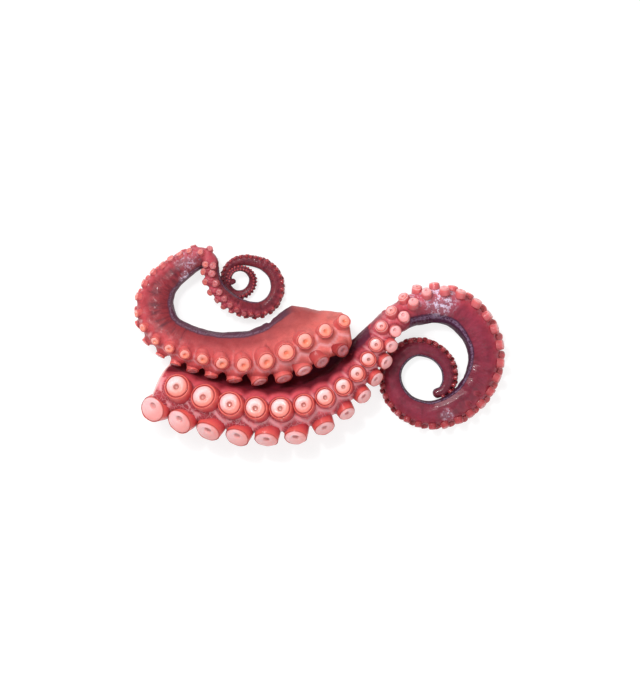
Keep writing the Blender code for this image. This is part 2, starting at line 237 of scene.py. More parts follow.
@dataclass
class Sections:
    """An arm's sections at many places: middles, directions and sizes, one row for each."""

    middle: np.ndarray
    run: np.ndarray
    left: np.ndarray
    up: np.ndarray
    face: np.ndarray
    side: np.ndarray
    deep: np.ndarray
    wide: np.ndarray
    pitch: np.ndarray
    web: np.ndarray


class Route:
    """The smooth line that an arm follows, with its sections."""

    def __init__(self, stations: tuple[Station, ...]) -> None:
        """Joins the stations by a smooth curve in steps of FINE_STEP.

        The middle's height is the lift plus the reach of the tilted section below it, which
        is the root of (deep cos face)^2 + (wide sin face)^2, less the sink into the table.
        The web alone runs straight from station to station.

        Args:
            stations: the listed sections, base first.
        """
        points = np.array([astuple(station) for station in stations])
        points[:, :2] += LAYOUT_SHIFT
        chord = np.linalg.norm(np.diff(points[:, :2], axis=0), axis=1)
        knots = np.concatenate(([0.0], np.cumsum(chord)))
        at = np.arange(0.0, knots[-1], FINE_STEP)
        rows = hermite(knots, points, at)
        rows[:, 7] = np.interp(at, knots, points[:, 7])
        face = np.radians(rows[:, 5])
        rows[:, 2] += np.hypot(rows[:, 3] * np.cos(face), rows[:, 4] * np.sin(face)) - FLOOR_SINK
        steps = np.linalg.norm(np.diff(rows[:, :3], axis=0), axis=1)
        self.along = np.concatenate(([0.0], np.cumsum(steps)))
        self.rows = rows
        self.runs = unit(np.gradient(rows[:, :3], axis=0))
        self.length = float(self.along[-1])

    def read(self, table: np.ndarray, along: np.ndarray) -> np.ndarray:
        """The columns of a fine table at these distances along the arm."""
        return np.column_stack([np.interp(along, self.along, column) for column in table.T])

    def sections(self, along: np.ndarray) -> Sections:
        """The sections at these distances along the arm.

        Left is up crossed with the run, and the face direction is up turned by the face
        angle towards the left.

        Args:
            along: distances from the base in millimetres, shape (n,).

        Returns:
            Sections with n rows.
        """
        values = self.read(self.rows, along)
        run = unit(self.read(self.runs, along))
        left = unit(np.cross([0.0, 0.0, 1.0], run))
        up = np.cross(run, left)
        angle = np.radians(values[:, 5:6])
        face = up * np.cos(angle) + left * np.sin(angle)
        side = left * np.cos(angle) - up * np.sin(angle)
        return Sections(values[:, :3], run, left, up, face, side, *values[:, [3, 4, 6, 7]].T)

    def even_places(self, count: int) -> np.ndarray:
        """Places whose spacing is proportional to the arm's thickness there.

        Args:
            count: how many places.

        Returns:
            Distances from the base, base to tip, shape (count,).
        """
        thickness = self.rows[:, 3]
        work = np.concatenate(([0.0], np.cumsum(np.diff(self.along) / thickness[1:])))
        return np.interp(np.linspace(0.0, work[-1], count), work, self.along)


@dataclass(frozen=True)
class RowPlan:
    """How an arm's two rows of suckers stand, in degrees, millimetres and ratios.

    splay is each row's angle from the middle of the face, left_lean and right_lean how far
    the cups of each row lean back from there, size the cup radius for each millimetre of
    pitch and stalk the stalk length in cup radii. splay_tip, size_tip and stalk_tip are the
    same towards the tip, and change is where splay and size turn into them. first_left and
    first_right place the first cups, the fillet's values shape the swollen skin round a foot
    in cup radii, and slimness is the visual cup's radius against the solid's. base_lean leans
    the first cups towards the base, less along base_lean_run, and base_rise is how much more
    the right row's first cup leans back, less along base_rise_run.
    """

    splay: float
    splay_tip: float
    left_lean: float
    right_lean: float
    size: float
    size_tip: float
    stalk: float
    stalk_tip: float
    first_left: float
    first_right: float
    fillet_height: float
    fillet_width: float
    slimness: float = 0.96
    base_lean: float = 16.0
    base_lean_run: float = 150.0
    base_rise: float = 0.0
    base_rise_run: float = 32.0
    tip_clear: float = 1.5
    keel: float = 1.10
    change: tuple[float, float] = (85.0, 160.0)
    fillet_reach: float = 4.0
    fillet_depth: float = 1.2
    fillet_wall: float = 0.85
    fillet_power: float = 2.5
    fillet_limit: float = 1.15

    def size_at(self, along: np.ndarray) -> np.ndarray:
        """The cup radius for each millimetre of pitch at these distances from the base."""
        return np.interp(along, self.change, (self.size, self.size_tip))

    def splay_at(self, along: np.ndarray) -> np.ndarray:
        """The rows' angle from the middle of the face at these distances from the base."""
        return np.interp(along, self.change, (self.splay, self.splay_tip))


@dataclass
class Cups:
    """Every sucker of an arm, one row for each: places and directions, and sizes."""

    along: np.ndarray
    foot: np.ndarray
    outward: np.ndarray
    rim: np.ndarray
    axis: np.ndarray
    run: np.ndarray
    radius: np.ndarray
    stalk: np.ndarray
    row: np.ndarray

    def pick(self, chosen: np.ndarray) -> "Cups":
        """The chosen suckers alone."""
        return Cups(*(values[chosen] for values in vars(self).values()))


def place_cups(route: Route, plan: RowPlan) -> Cups:
    """Both rows of an arm's suckers, from the base to near the tip.

    A cup stands on the skin at the splay angle from the middle of the face, its rim one
    stalk further out, and its axis leans back from the splay and towards the base.

    Args:
        route: the arm's route.
        plan: how its rows stand.

    Returns:
        The suckers, the left row first.
    """
    along, sign = [], []
    for row, first in ((1.0, plan.first_left), (-1.0, plan.first_right)):
        place = first
        while place < route.length - plan.tip_clear:
            along.append(place)
            sign.append(row)
            place += float(np.interp(place, route.along, route.rows[:, 6]))
    along, sign = np.array(along), np.array(sign)
    at = route.sections(along)
    radius = plan.size_at(along) * at.pitch
    share = along / route.length
    stalk = radius * (plan.stalk * (1.0 - share) + plan.stalk_tip * share)
    stand = np.radians(plan.splay_at(along))[:, None]
    risen = plan.right_lean + plan.base_rise * np.maximum(0.0, 1.0 - along / plan.base_rise_run)
    leaned = stand - np.radians(np.where(sign > 0.0, plan.left_lean, risen))[:, None]
    across = sign[:, None] * at.side
    foot = at.middle + at.face * (at.deep[:, None] * plan.keel * np.cos(stand))
    foot = foot + across * (at.wide[:, None] * np.sin(stand))
    outward = at.face * np.cos(stand) + across * np.sin(stand)
    back = np.radians(plan.base_lean * np.maximum(0.0, 1.0 - along / plan.base_lean_run))
    axis = unit(at.face * np.cos(leaned) + across * np.sin(leaned) - at.run * np.tan(back)[:, None])
    rim = foot + outward * stalk[:, None]
    return Cups(along, foot, outward, rim, axis, at.run, radius, stalk, sign)


@dataclass
class Surface:
    """Vertices, quads and named numbers for each vertex, ready to become a mesh."""

    points: np.ndarray
    faces: np.ndarray
    marks: dict[str, np.ndarray]


def tube_faces(rings: int, sides: int) -> np.ndarray:
    """Quads between neighbouring rings of a closed tube.

    Args:
        rings: how many rings the tube has.
        sides: how many vertices a ring has.

    Returns:
        Vertex indices, shape ((rings - 1) * sides, 4).
    """
    row, column = np.meshgrid(np.arange(rings - 1), np.arange(sides), indexing="ij")
    here, beside = row * sides + column, row * sides + (column + 1) % sides
    return np.stack((here, beside, beside + sides, here + sides), axis=-1).reshape(-1, 4)


def link(name: str, data: bpy.types.ID) -> bpy.types.Object:
    """A linked object at the origin.

    Args:
        name: its name.
        data: its mesh, light or camera.

    Returns:
        The object.
    """
    made = bpy.data.objects.new(name, data)
    bpy.context.scene.collection.objects.link(made)
    return made


def write_mesh(name: str, surface: Surface) -> bpy.types.Object:
    """A smooth mesh object from a surface in millimetres, its faces pointing outwards.

    Quads whose corners meet in a pole become triangles there. The volume is the sum of each
    face's corner product over six, and where it is negative every face is turned round.

    Args:
        name: the piece's name.
        surface: the vertices, quads and marks.

    Returns:
        The linked object, at the origin.
    """
    faces, points = surface.faces, surface.points * MM
    first, second, third, last = (points[faces[:, corner]] for corner in range(4))
    turned = np.cross(second, third) + np.cross(third, last)
    if np.einsum("ij,ij->", first, turned) < 0.0:
        faces = faces[:, ::-1]
    following = np.roll(faces, -1, axis=1)
    kept = faces != following
    counts = kept.sum(axis=1)
    mesh = bpy.data.meshes.new(name)
    mesh.vertices.add(len(points))
    mesh.vertices.foreach_set("co", points.astype(np.float32).ravel())
    mesh.loops.add(int(counts.sum()))
    mesh.loops.foreach_set("vertex_index", faces[kept].astype(np.int32))
    mesh.polygons.add(len(faces))
    starts = np.concatenate(([0], np.cumsum(counts)[:-1]))
    mesh.polygons.foreach_set("loop_start", starts.astype(np.int32))
    mesh.update(calc_edges=True)
    for mark, values in surface.marks.items():
        layer = mesh.attributes.new(mark, "FLOAT", "POINT")
        layer.data.foreach_set("value", np.asarray(values, np.float32).ravel())
    mesh.shade_smooth()
    return link(name, mesh)


@dataclass(frozen=True)
class SkinPlan:
    """Sizes of an arm's skin: its grid, its section and its relief.

    rings and turns are the grid, and cap_rings the rings that round off each end. web_angle
    and web_sharpness shape the flap of skin, keel deepens the sucker side, and the ridge
    raises the skin at ridge_turn from the face. lump, fold and wrinkle are heights in half
    depths, and wrinkle_length is in half depths too. Other lengths are in millimetres, turns
    and widths round the arm in radians, and ranges along it in shares of its length.
    seam_from is the turn from the face past which no seam shows between two suckers, which
    fades from seam_start of it. seam_reach and foot_reach are in cup radii from a cup's axis,
    and cut_range is where the cut end's colour sets in, in shares of its rounding.
    """

    rings: int
    turns: int
    web_angle: float
    web_sharpness: float
    keel: float
    lump: float
    fold: float
    wrinkle: float
    wrinkle_length: float
    seed: int
    seam_from: float
    cap_rings: int = 12
    base_reach: float = 0.27
    base_power: float = 0.45
    tip_reach: float = 0.90
    ridge: float = 0.05
    ridge_turn: float = 2.45
    ridge_width: float = 0.16
    top_inset: float = 2.0
    top_slope: float = 2.5
    lump_lengths: tuple[float, float] = (9.0, 3.4)
    small_lump: float = 0.4
    bend: float = 0.35
    bend_length: float = 7.0
    patch: float = 0.45
    patch_length: float = 12.0
    flank_turn: float = 1.75
    flank_width: float = 0.55
    wrinkled: tuple[float, float] = (0.22, 0.42)
    seamed: tuple[float, float] = (0.34, 0.46)
    seam_start: float = 0.6
    seam_width: float = 0.22
    seam_reach: tuple[float, float] = (1.0, 2.2)
    foot_reach: float = 0.9
    cut_range: tuple[float, float] = (0.15, 0.5)


@dataclass
class ArmSkin:
    """The skin of one arm: a closed tube with relief and rounded ends."""

    route: Route
    cups: Cups
    plan: SkinPlan
    rows: RowPlan

    def bare(self, along: np.ndarray, turn: np.ndarray) -> tuple[np.ndarray, np.ndarray, Sections]:
        """The section's outline carried along the route, with its flap of skin.

        A point is the middle + (face * deep cos(turn) + side * wide sin(turn)) * ridge, where
        deep is longer by the keel on the sucker side and ridge is 1 plus a bell at ridge_turn,
        plus left * web * max(0, cos(angle - reach)) to a power, where angle is the point's own
        angle from straight up.

        Args:
            along: distances from the base, shape (n,).
            turn: angles from the face direction, shape (m,).

        Returns:
            Points of shape (n, m, 3), their inset of shape (n, m), and the sections. The inset
            is how far a point lies inside the outline seen from above, on the side away from the
            suckers, in half depths. It grows by top_inset where the suckers face straight up.
        """
        at = self.route.sections(along)
        cos, sin = np.cos(turn)[None, :, None], np.sin(turn)[None, :, None]
        keel = np.where(np.cos(turn) > 0.0, self.plan.keel, 1.0)[None, :, None]
        ridge = 1.0 + self.plan.ridge * bell(np.abs(turn), self.plan.ridge_turn, self.plan.ridge_width)
        offset = at.face[:, None] * (at.deep[:, None, None] * keel * cos)
        offset = (offset + at.side[:, None] * (at.wide[:, None, None] * sin)) * ridge[None, :, None]
        angle = np.arctan2(
            np.einsum("nmk,nk->nm", offset, at.left), np.einsum("nmk,nk->nm", offset, at.up)
        )
        reach = math.radians(self.plan.web_angle) * np.sign(at.web + 1e-9)[:, None]
        share = np.maximum(0.0, np.cos(angle - reach)) ** self.plan.web_sharpness
        offset = offset + at.left[:, None] * (at.web[:, None] * share)[..., None]
        tilt = np.einsum("nk,nk->n", at.face, at.left)[:, None]
        sideways = np.einsum("nmk,nk->nm", offset, at.left) * -np.sign(tilt)
        inset = (sideways.max(axis=1, keepdims=True) - sideways) / at.deep[:, None]
        inset = inset + self.plan.top_inset * (1.0 - np.clip(self.plan.top_slope * np.abs(tilt), 0.0, 1.0))
        return at.middle[:, None] + offset, inset, at

    def near_cups(self, points: np.ndarray, along: np.ndarray) -> tuple[np.ndarray, np.ndarray, np.ndarray]:
        """How the suckers push the skin about, and how near the nearest two are.

        The skin swells along a cup's outward direction by height * (1 - u)^power, where u is
        the distance from the cup's axis line past the wall, over the fillet's width. Where the
        swellings of several cups add up, the sum is held to fillet_limit times one alone.

        Args:
            points: the bare skin, shape (n, m, 3).
            along: each ring's distance from the base, shape (n,).

        Returns:
            The swelling as vectors, and the nearest and second nearest distance from a cup's
            axis in cup radii, NO_CUP where none is near.
        """
        swell = np.zeros_like(points)
        first = np.full(points.shape[:2], NO_CUP)
        second = first.copy()
        for index in range(len(self.cups.radius)):
            radius = self.cups.radius[index]
            offset = points - self.cups.foot[index]
            reach = np.abs(offset).max(axis=2)
            rows = np.flatnonzero((reach < self.rows.fillet_reach * radius).any(axis=1))
            part = slice(rows.min(), rows.max() + 1)
            offset = offset[part]
            height = offset @ self.cups.outward[index]
            apart = offset - height[..., None] * self.cups.outward[index]
            distance = np.linalg.norm(apart, axis=2) / radius
            distance = np.where(height < -self.rows.fillet_depth * radius, NO_CUP, distance)
            wall = np.clip((distance - self.rows.fillet_wall) / self.rows.fillet_width, 0.0, 1.0)
            rise = self.rows.fillet_height * radius * (1.0 - wall) ** self.rows.fillet_power
            swell[part] += self.cups.outward[index] * np.where(distance < NO_CUP, rise, 0.0)[..., None]
            second[part] = np.minimum(second[part], np.maximum(first[part], distance))
            first[part] = np.minimum(first[part], distance)
        pitch = np.interp(along, self.route.along, self.route.rows[:, 6])
        limit = self.rows.fillet_limit * self.rows.fillet_height * pitch * self.rows.size_at(along)
        size = np.linalg.norm(swell, axis=2)
        swell *= np.where(size > limit[:, None], limit[:, None] / np.maximum(size, 1e-9), 1.0)[..., None]
        return swell, first, second

    def relief(self, points: np.ndarray, along: np.ndarray, turn: np.ndarray, at: Sections) -> np.ndarray:
        """The skin's own height: soft lumps all over, and wrinkles across the run on the sides.

        A wrinkle is a sine along the arm, bent by a slow swell, whose length is proportional
        to the thickness. It is strongest at flank_turn from the face, uneven from patch to
        patch, and grows in over the wrinkled range along the arm.

        Args:
            points: the bare skin, shape (n, m, 3).
            along: each ring's distance from the base, shape (n,).
            turn: angles from the face direction, shape (m,).
            at: the rings' sections.

        Returns:
            Heights in millimetres, shape (n, m).
        """
        plan, size = self.plan, at.deep[:, None]
        broad, small = (
            ripple(points, length, plan.seed + step) for step, length in enumerate(plan.lump_lengths)
        )
        bend = plan.bend * ripple(points, plan.bend_length, plan.seed + 2)
        phase = along[:, None] / (plan.wrinkle_length * size) + bend
        uneven = 1.0 - plan.patch + plan.patch * ripple(points, plan.patch_length, plan.seed + 3)
        flank = bell(np.abs(turn), plan.flank_turn, plan.flank_width)[None, :]
        curl = ease(*plan.wrinkled, along / self.route.length)[:, None]
        wrinkles = plan.wrinkle * size * np.sin(math.tau * phase) * uneven * flank * curl
        return plan.lump * size * (broad + plan.small_lump * small) + wrinkles

    def surface(self) -> Surface:
        """The whole skin with its ends closed, flattened where it lies on the table.

        A point is the bare skin + swelling + normal * (relief + fold), where the fold rises
        halfway between the two nearest suckers.

        Returns:
            The skin and its marks.
        """
        plan, length = self.plan, self.route.length
        along = self.route.even_places(plan.rings)
        turn = np.linspace(-math.pi, math.pi, plan.turns, endpoint=False)
        bare, inset, at = self.bare(along, turn)
        swell, first, second = self.near_cups(bare, along)
        lengthways = np.gradient(bare, axis=0)
        roundways = np.roll(bare, -1, axis=1) - np.roll(bare, 1, axis=1)
        normal = unit(np.cross(roundways, lengthways))
        outwards = np.einsum("nmk,nmk->nm", normal, bare - at.middle[:, None])
        normal *= np.sign(outwards.mean())
        face = 1.0 - ease(plan.seam_start * plan.seam_from, plan.seam_from, np.abs(turn))[None, :]
        face = face * (1.0 - ease(*plan.seamed, along / length))[:, None]
        nearest, furthest = plan.seam_reach
        seam = bell(second - first, 0.0, plan.seam_width) * (first < furthest) * (first > nearest) * face
        height = self.relief(bare, along, turn, at) + plan.fold * at.deep[:, None] * seam
        points = bare + swell + normal * height[..., None]
        caps = np.linspace(0.0, 1.0, plan.cap_rings + 1)[1:] * (math.pi / 2)
        back = -at.run[0] * at.deep[0] * plan.base_reach
        ahead = at.run[-1] * at.deep[-1] * plan.tip_reach
        base = self.cap(points[0], at.middle[0], back, caps, plan.base_power)
        tip = self.cap(points[-1], at.middle[-1], ahead, caps, 1.0)
        whole = np.concatenate((base[::-1], points, tip))
        marks = {
            "along": np.broadcast_to((along / length)[:, None], first.shape),
            "back": np.broadcast_to((np.abs(turn) / math.pi)[None, :], first.shape),
            "leftward": np.broadcast_to(np.sin(turn)[None, :], first.shape),
            "near": np.clip(1.0 - (first - plan.foot_reach) / plan.foot_reach, 0.0, 1.0),
            "seam": seam,
            "inset": inset,
            "cut": np.zeros(first.shape),
        }
        ends = [1] * len(along)
        ends[0] = ends[-1] = plan.cap_rings + 1
        whole_marks = {name: np.repeat(values, ends, axis=0) for name, values in marks.items()}
        whole_marks["cut"][:plan.cap_rings] = ease(*plan.cut_range, caps[::-1] / (math.pi / 2))[:, None]
        whole[..., 2] = lay_flat(whole[..., 2])
        return close_tube(whole, whole_marks)

    @staticmethod
    def cap(ring: np.ndarray, middle: np.ndarray, reach: np.ndarray,
            angles: np.ndarray, power: float) -> np.ndarray:
        """Rings that round off an end: scale cos(angle)^power, pushed out by reach * sin(angle)."""
        scale = np.maximum(np.cos(angles), 0.0)[:, None, None] ** power
        return middle + (ring - middle)[None] * scale + reach * np.sin(angles)[:, None, None]


def lay_flat(height: np.ndarray, softness: float = 0.5) -> np.ndarray:
    """Heights kept above the table: half of z + sqrt(z^2 + softness^2), which is z well above it."""
    return 0.5 * (height + np.sqrt(height * height + softness * softness))


def close_tube(rings: np.ndarray, marks: dict[str, np.ndarray]) -> Surface:
    """A tube whose first and last ring have shrunk to a point, each merged into one vertex.

    Args:
        rings: shape (n, m, 3), the first and last ring all at one place.
        marks: numbers for each vertex, shape (n, m).

    Returns:
        The closed surface.
    """
    count, sides = rings.shape[:2]
    points = np.concatenate((rings[0, :1], rings[1:-1].reshape(-1, 3), rings[-1, :1]))
    faces = tube_faces(count, sides)
    faces = np.where(faces < sides, 0, np.minimum(faces - sides + 1, (count - 2) * sides + 1))
    flat = {
        name: np.concatenate((values[0, :1], values[1:-1].ravel(), values[-1, :1]))
        for name, values in marks.items()
    }
    return Surface(points, faces, flat)


@dataclass(frozen=True)
class CupShape:
    """A sucker's outline from the pit in its disc, over the disc, crease and collar, to its foot.

    Each row is the zone, a number from 0 at the middle of the pit to 1 at the foot, the radius
    and the height over the rim, both in cup radii. The foot's height is lowered by the stalk.
    pit_left and pit_right move the pits of each row towards the arm's middle in cup radii, and
    right_disc widens the right row's discs. unevenness is the spread of the cups' tilt in
    radians, of their size and of how oval they are, and wild is how much more they tilt from
    the wild_range along the arm on. waves are the lobes round the lip, each a count and a
    height, and bulge, lip, disc and spokes place and size the swellings by zone. The seed is
    that of every random draw.
    """

    outline: tuple[tuple[float, float, float], ...]
    foot_radius: float
    foot_sink: float
    unevenness: float
    pit_left: float
    pit_right: float
    right_disc: float
    seed: int
    wild: float = 1.6
    wild_range: tuple[float, float] = (0.34, 0.55)
    ovality: float = 0.8
    shrink: float = 0.6
    growth: float = 0.2
    bulge: float = 0.06
    bulge_draw: tuple[float, float] = (-0.3, 1.0)
    bulge_zone: tuple[float, float] = (0.26, 0.14)
    waves: tuple[tuple[int, float], ...] = ((2, 0.030), (3, 0.022), (7, 0.010))
    lip_zone: tuple[float, float] = (0.62, 0.14)
    spokes: int = 18
    spoke: float = 0.012
    disc_zone: tuple[float, float] = (0.36, 0.09)
    disc_end: tuple[float, float] = (0.54, 0.72)
    pit_end: tuple[float, float] = (0.10, 0.42)
    floor_softness: float = 0.3

    def profile(self, rings: int, stalk: np.ndarray) -> tuple[np.ndarray, np.ndarray, np.ndarray]:
        """The smooth outline of each cup.

        Args:
            rings: how many rings each cup gets.
            stalk: each cup's stalk length in cup radii, shape (k,).

        Returns:
            The zones of shape (rings,), and radii and heights of shape (k, rings).
        """
        rows = np.array(self.outline)
        zone = np.linspace(0.0, 1.0, rings)
        radius = np.empty((len(stalk), rings))
        height = np.empty((len(stalk), rings))
        for index, length in enumerate(stalk):
            foot = (1.0, self.foot_radius, -length - self.foot_sink)
            table = np.vstack((rows, foot))
            radius[index], height[index] = hermite(table[:, 0], table[:, 1:], zone).T
        radius[:, 0] = 0.0
        return zone, np.maximum(radius, 0.0), height


@dataclass
class SuckerMesh:
    """The suckers of one arm between two sizes, joined into one piece."""

    cups: Cups
    shape: CupShape
    plan: RowPlan
    length: float
    rings: int
    sides: int

    def surface(self) -> Surface:
        """All cups as one surface.

        A point is rim + radius * (r cos(psi) ahead + r sin(psi) across + h axis), where r and h
        come from the outline. The outline is made uneven: each cup is slightly oval and tilted,
        more so further along the arm, its disc bulges and has faint spokes, its lip waves, the
        right row's discs are wider, and the pit lies nearer to the arm's middle.

        Returns:
            The cups, each a closed shell, and their marks.
        """
        cups, form, count = self.cups, self.shape, len(self.cups.radius)
        rng = np.random.default_rng(form.seed)
        spread = form.unevenness
        wild = (1.0 + form.wild * ease(*form.wild_range, cups.along / self.length))[:, None]
        tilt = rng.normal(0.0, spread, (count, 2)) * wild
        across = unit(np.cross(cups.axis, cups.run))
        axis = unit(cups.axis + tilt[:, :1] * across + tilt[:, 1:] * cups.run)
        across = unit(np.cross(axis, cups.run))
        ahead = np.cross(across, axis)
        drawn = rng.uniform(1.0 - form.shrink * spread, 1.0 + form.growth * spread, count)
        size = cups.radius * self.plan.slimness * drawn
        oval = rng.uniform(-spread, spread, count) * form.ovality
        lobes = rng.uniform(0.0, math.tau, (count, 3))
        zone, radius, height = form.profile(self.rings, cups.stalk / cups.radius)
        bulge = rng.uniform(*form.bulge_draw, count)[:, None] * form.bulge
        height = (height + bulge * bell(zone, *form.bulge_zone))[:, :, None]
        psi = np.linspace(0.0, math.tau, self.sides, endpoint=False)
        wave = sum(
            depth * np.cos(number * psi + lobes[:, index:index + 1])
            for index, (number, depth) in enumerate(form.waves)
        )[:, None, :]
        lip = bell(zone, *form.lip_zone)[None, :, None]
        disc = bell(zone, *form.disc_zone)[None, :, None]
        stretch = (1.0 + oval[:, None] * np.cos(2 * psi + lobes[:, :1]))[:, None, :]
        spoke = (form.spoke * np.cos(form.spokes * psi + 4 * lobes[:, :1]))[:, None, :]
        wide = np.where(cups.row < 0.0, form.right_disc - 1.0, 0.0)[:, None]
        wide = (wide * (1.0 - ease(*form.disc_end, zone)))[:, :, None]
        r = radius[:, :, None] * stretch * (1.0 + 0.5 * (wave * lip)) * (1.0 + wide)
        h = height + wave * lip + spoke * disc
        shift = np.where(cups.row > 0.0, -form.pit_left, form.pit_right)[:, None]
        shift = (shift * (1.0 - ease(*form.pit_end, zone)))[:, :, None]
        local = (
            (r * np.cos(psi))[..., None] * ahead[:, None, None]
            + (r * np.sin(psi) + shift)[..., None] * across[:, None, None]
        )
        raised = local + h[..., None] * axis[:, None, None]
        points = cups.rim[:, None, None] + size[:, None, None, None] * raised
        points[..., 2] = lay_flat(points[..., 2], form.floor_softness)
        marks = {
            "along": (cups.along / self.length)[:, None, None],
            "zone": zone[None, :, None],
            "lit": local @ unit(np.array(LIT_FROM)),
            "own": rng.uniform(0.0, 1.0, count)[:, None, None],
            "row": cups.row[:, None, None],
        }
        marks = {name: np.broadcast_to(values, points.shape[:3]) for name, values in marks.items()}
        return join_surfaces([
            close_tube(shrink_end(rings), {name: values[index] for name, values in marks.items()})
            for index, rings in enumerate(points)
        ])


def shrink_end(rings: np.ndarray) -> np.ndarray:
    """The rings with the last one drawn together at its middle.

    Args:
        rings: shape (n, m, 3).

    Returns:
        A changed copy.
    """
    rings = rings.copy()
    rings[-1] = rings[-1].mean(axis=0)
    return rings


def join_surfaces(pieces: list[Surface]) -> Surface:
    """Several closed surfaces as one, each a shell of its own."""
    starts = np.cumsum([0] + [len(piece.points) for piece in pieces[:-1]])
    return Surface(
        np.concatenate([piece.points for piece in pieces]),
        np.concatenate([piece.faces + start for piece, start in zip(pieces, starts)]),
        {name: np.concatenate([piece.marks[name] for piece in pieces]) for name in pieces[0].marks},
    )


LOWER_CUP = CupShape(
    outline=(
        (0.00, 0.00, -0.17), (0.05, 0.12, -0.16), (0.09, 0.18, -0.11), (0.13, 0.225, -0.03),
        (0.19, 0.32, 0.01), (0.30, 0.50, 0.02), (0.40, 0.665, -0.01), (0.46, 0.755, -0.06),
        (0.50, 0.80, -0.13), (0.54, 0.825, -0.17), (0.585, 0.86, -0.13), (0.635, 0.90, -0.09),
        (0.69, 0.95, -0.13), (0.74, 0.985, -0.25), (0.80, 1.01, -0.45), (0.87, 1.04, -0.70),
    ),
    foot_radius=1.08,
    foot_sink=0.45,
    unevenness=0.055,
    pit_left=0.07,
    pit_right=0.30,
    right_disc=1.16,
    seed=47,
)
UPPER_CUP = CupShape(
    outline=(
        (0.00, 0.00, -0.15), (0.05, 0.12, -0.14), (0.09, 0.18, -0.10), (0.13, 0.23, -0.05),
        (0.19, 0.33, -0.01), (0.30, 0.52, 0.02), (0.40, 0.68, 0.01), (0.46, 0.77, -0.03),
        (0.50, 0.82, -0.08), (0.54, 0.85, -0.10), (0.585, 0.885, -0.07), (0.635, 0.93, -0.05),
        (0.69, 0.97, -0.09), (0.74, 0.99, -0.20), (0.80, 0.96, -0.42), (0.87, 0.97, -0.72),
    ),
    foot_radius=1.12,
    foot_sink=0.45,
    unevenness=0.065,
    pit_left=0.04,
    pit_right=0.08,
    right_disc=1.0,
    seed=77,
)

LOWER_ROWS = RowPlan(
    splay=36.0, splay_tip=20.0, left_lean=-5.0, right_lean=10.0, size=0.53, size_tip=0.42,
    stalk=0.85, stalk_tip=1.50, first_left=8.6, first_right=0.4,
    fillet_height=0.34, fillet_width=0.50, slimness=0.955, base_rise=24.0,
)
UPPER_ROWS = RowPlan(
    splay=29.0, splay_tip=26.0, left_lean=4.0, right_lean=6.0, size=0.445, size_tip=0.42,
    stalk=1.18, stalk_tip=0.85, first_left=4.6, first_right=0.7,
    fillet_height=0.72, fillet_width=0.85, keel=1.22,
)
LOWER_SKIN = SkinPlan(
    rings=820, turns=104, web_angle=140.0, web_sharpness=12, keel=1.10,
    lump=0.020, fold=0.06, wrinkle=0.018, wrinkle_length=0.34, seed=5, seam_from=1.3,
)
UPPER_SKIN = SkinPlan(
    rings=820, turns=104, web_angle=100.0, web_sharpness=3, keel=1.22,
    lump=0.018, fold=0.0, wrinkle=0.034, wrinkle_length=0.40, seed=9, seam_from=0.7,
)


# Places of the Mix node's colour sockets
MIX_SHARE, MIX_BASE, MIX_OVER, MIX_RESULT = 0, 6, 7, 2
# Waves over the arm's length and round it
STREAKS_ALONG, STREAKS_ROUND = 120.0, 3.0
WARP_SCALE = 0.5
SPOT_CORE = 0.3
BUMP_STRENGTH = 0.6

# Flesh colours that both arms share, as seen; FOOT_SHADE is painted shade where a sucker meets the skin,
# and CREASE_HIGHLIGHT and GLINT are painted highlights
MOTTLE = (120, 34, 48)
STREAK = (74, 20, 36)
FOOT_SHADE = (122, 26, 38)
SPECK = (80, 20, 42)
BLOOM = (232, 150, 156)
CREASE_HIGHLIGHT = (246, 190, 196)
GLINT = (232, 216, 238)
OWN_FLESH = (232, 106, 102)
FAR_FLESH = (232, 132, 136)
FAR_RIM = (252, 206, 206)
FRECKLE = (180, 50, 60)


def colour(red: int, green: int, blue: int) -> tuple[float, float, float, float]:
    """A colour as seen, 0 to 255, as the linear values that a shader takes.

    A channel is c / 12.92 below 0.04045 and ((c + 0.055) / 1.055) ^ 2.4 above it.

    Args:
        red: the red channel.
        green: the green channel.
        blue: the blue channel.

    Returns:
        The linear channels and an alpha of one.
    """
    seen = np.array([red, green, blue]) / 255.0
    linear = np.where(seen <= 0.04045, seen / 12.92, ((seen + 0.055) / 1.055) ** 2.4)
    return (*(float(value) for value in linear), 1.0)


class Wire:
    """A socket that carries a number, so that shader maths is written as an expression."""

    def __init__(self, graph: "Graph", socket: bpy.types.NodeSocket) -> None:
        """Wraps an output socket of a node in the graph."""
        self.graph = graph
        self.socket = socket

    def pair(self, operation: str, other: "Wire | float", flipped: bool = False) -> "Wire":
        """A Math node of this value and another, in that order unless flipped."""
        values = {0: other, 1: self} if flipped else {0: self, 1: other}
        return self.graph.wire("ShaderNodeMath", {"operation": operation}, values)

    def __add__(self, other: "Wire | float") -> "Wire":
        """This value plus another."""
        return self.pair("ADD", other)

    def __radd__(self, other: "Wire | float") -> "Wire":
        """Another value plus this one."""
        return self.pair("ADD", other, True)

    def __sub__(self, other: "Wire | float") -> "Wire":
        """This value less another."""
        return self.pair("SUBTRACT", other)

    def __rsub__(self, other: "Wire | float") -> "Wire":
        """Another value less this one."""
        return self.pair("SUBTRACT", other, True)

    def __mul__(self, other: "Wire | float") -> "Wire":
        """This value times another."""
        return self.pair("MULTIPLY", other)

    def __rmul__(self, other: "Wire | float") -> "Wire":
        """Another value times this one."""
        return self.pair("MULTIPLY", other, True)

    def larger(self, other: "Wire | float") -> "Wire":
        """The larger of this value and another."""
        return self.pair("MAXIMUM", other)

    def step(self, low: float, high: float) -> "Wire":
        """Zero at low, one at high, smooth between."""
        values = {"Value": self, "From Min": low, "From Max": high}
        return self.graph.wire("ShaderNodeMapRange", {"interpolation_type": "SMOOTHSTEP"}, values)


